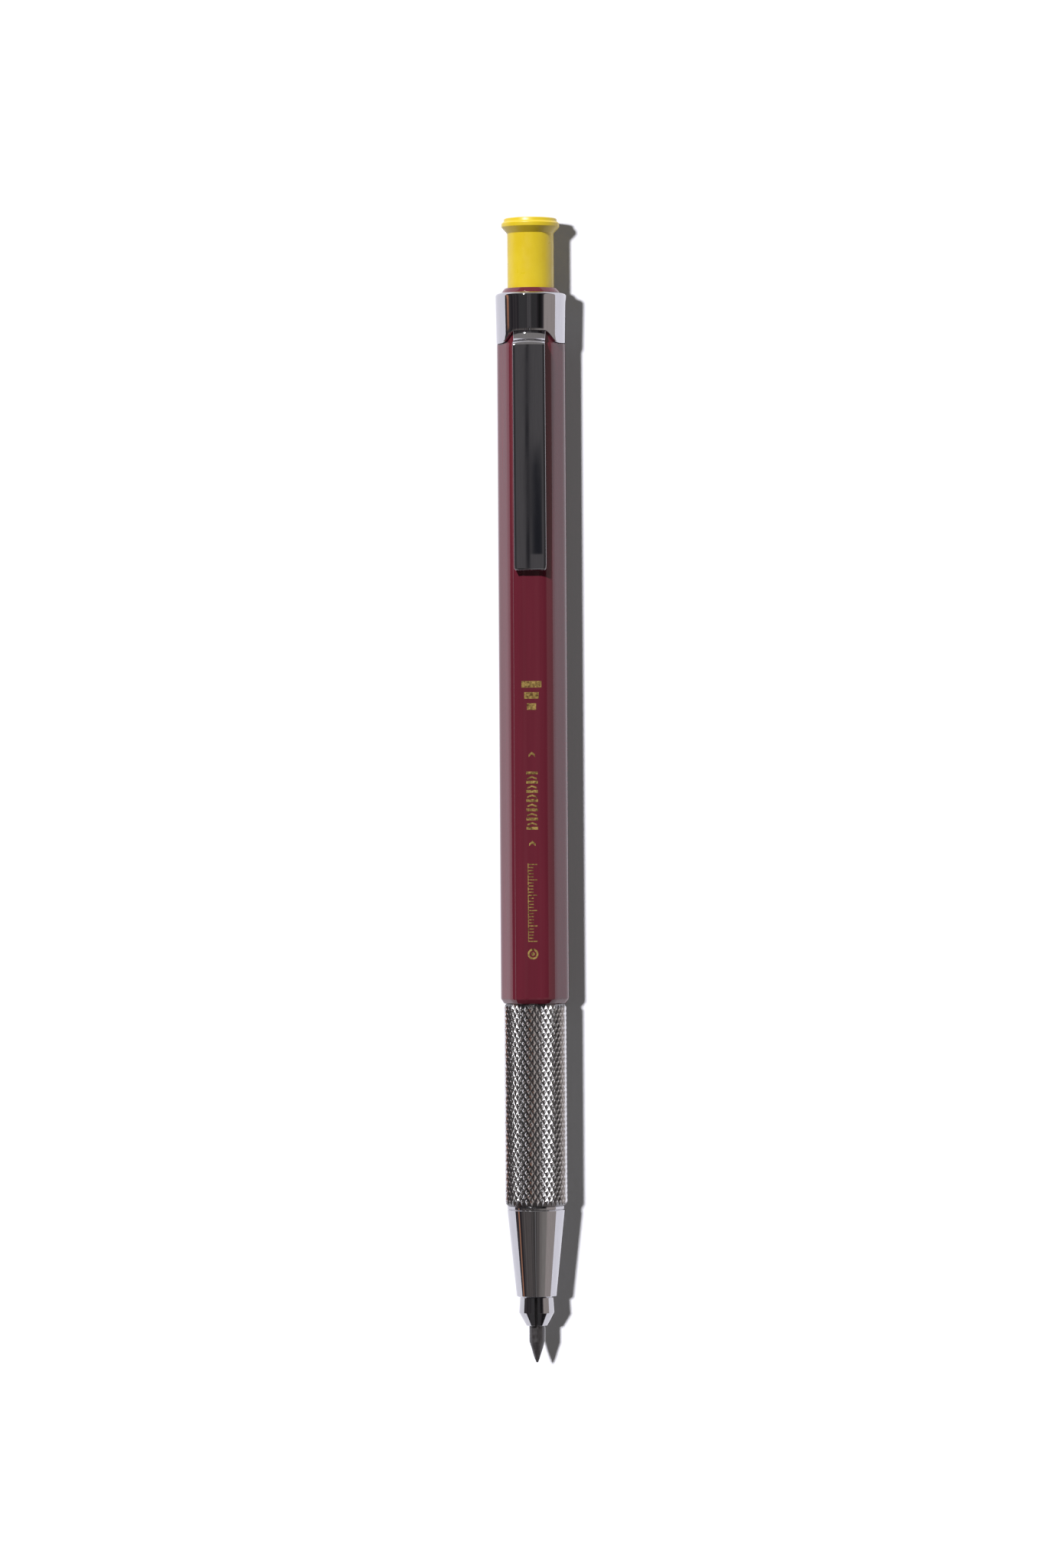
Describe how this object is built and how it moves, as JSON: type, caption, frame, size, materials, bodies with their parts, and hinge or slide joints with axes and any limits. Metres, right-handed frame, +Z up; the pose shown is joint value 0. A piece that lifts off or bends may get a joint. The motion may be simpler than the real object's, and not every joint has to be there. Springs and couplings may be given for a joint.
{
  "type": "mechanical pencil",
  "caption": "Push-button clutch pencil for thick leads: hexagonal maroon barrel, knurled metal grip, tapered nose with slit jaws, chromed ferrule with a spring clip and a yellow flanged button.",
  "frame": {"origin": "under the middle of the pencil's length, on the surface it lies on", "axes": "+Y along the pencil from the lead point to the button, +Z up through the clip, +X to the right seen from above with the button at the top"},
  "size_m": [0.0092, 0.1498, 0.0105],
  "materials": {
    "maroon_plastic": "glossy moulded maroon plastic",
    "yellow_plastic": "satin moulded yellow plastic",
    "chromed_sheet": "bright chrome plate on stamped sheet",
    "knurled_chrome": "bright chrome plate over a diamond knurl",
    "polished_chrome": "polished chrome plate on turned brass",
    "jaw_chrome": "chrome plate with fine turning marks",
    "brass": "turned brass",
    "spring_steel": "drawn steel wire and strip",
    "graphite": "dark grey graphite with a dull sheen"
  },
  "bodies": {
    "holder": {"barrel": "maroon_plastic", "tail_bush": "maroon_plastic", "ferrule": "chromed_sheet", "return_spring": "spring_steel", "spring_washer": "spring_steel", "front_bush": "brass", "grip_sleeve": "knurled_chrome", "lock_ring": "brass", "nose_ring": "polished_chrome", "nose_cone": "polished_chrome"},
    "mechanism": {"lead_tube": "brass", "tube_collar": "brass", "button_core": "brass", "collet_base": "brass"},
    "button": {"push_button": "yellow_plastic", "pointer_cone": "spring_steel", "pointer_blade": "spring_steel"},
    "clip": {"clip_arm": "chromed_sheet"},
    "right_jaw": {"jaw_right": "jaw_chrome"},
    "left_jaw": {"jaw_left": "jaw_chrome"},
    "lower_jaw": {"jaw_lower": "jaw_chrome"},
    "lead_stick": {"lead": "graphite"}
  },
  "joints": [
    {"name": "push", "type": "slide", "parent": "holder", "child": "mechanism", "axis": [0, -1, 0], "range_m": [0, 0.005], "stiffness_N_per_m": 600, "springref_m": -0.004, "deforming": ["return_spring"]},
    {"name": "button_pull", "type": "slide", "parent": "mechanism", "child": "button", "axis": [0, 1, 0], "range_m": [0, 0.01]},
    {"name": "lead_feed", "type": "slide", "parent": "mechanism", "child": "lead_stick", "axis": [0, -1, 0], "range_m": [-0.0045, 0.03]},
    {"name": "clip_flex", "type": "hinge", "parent": "holder", "child": "clip", "pos_m": [0, 0.0597, 0.00918], "axis": [-1, 0, 0], "range_deg": [0, 6], "stiffness_Nm_per_rad": 0.03, "springref_deg": -2.86},
    {"name": "right_jaw_open", "type": "hinge", "parent": "mechanism", "child": "right_jaw", "pos_m": [0.00121, -0.0499, 0.00534], "axis": [-0.5, 0, 0.866], "range_deg": [0, 1.5]},
    {"name": "left_jaw_open", "type": "hinge", "parent": "mechanism", "child": "left_jaw", "pos_m": [-0.00121, -0.0499, 0.00534], "axis": [-0.5, 0, -0.866], "range_deg": [0, 1.5]},
    {"name": "lower_jaw_open", "type": "hinge", "parent": "mechanism", "child": "lower_jaw", "pos_m": [0, -0.0499, 0.00324], "axis": [1, 0, 0], "range_deg": [0, 1.5]}
  ],
  "couplings": [
    {"joint": "right_jaw_open", "follows": "push", "rad_per_m": 5},
    {"joint": "left_jaw_open", "follows": "push", "rad_per_m": 5},
    {"joint": "lower_jaw_open", "follows": "push", "rad_per_m": 5}
  ]
}
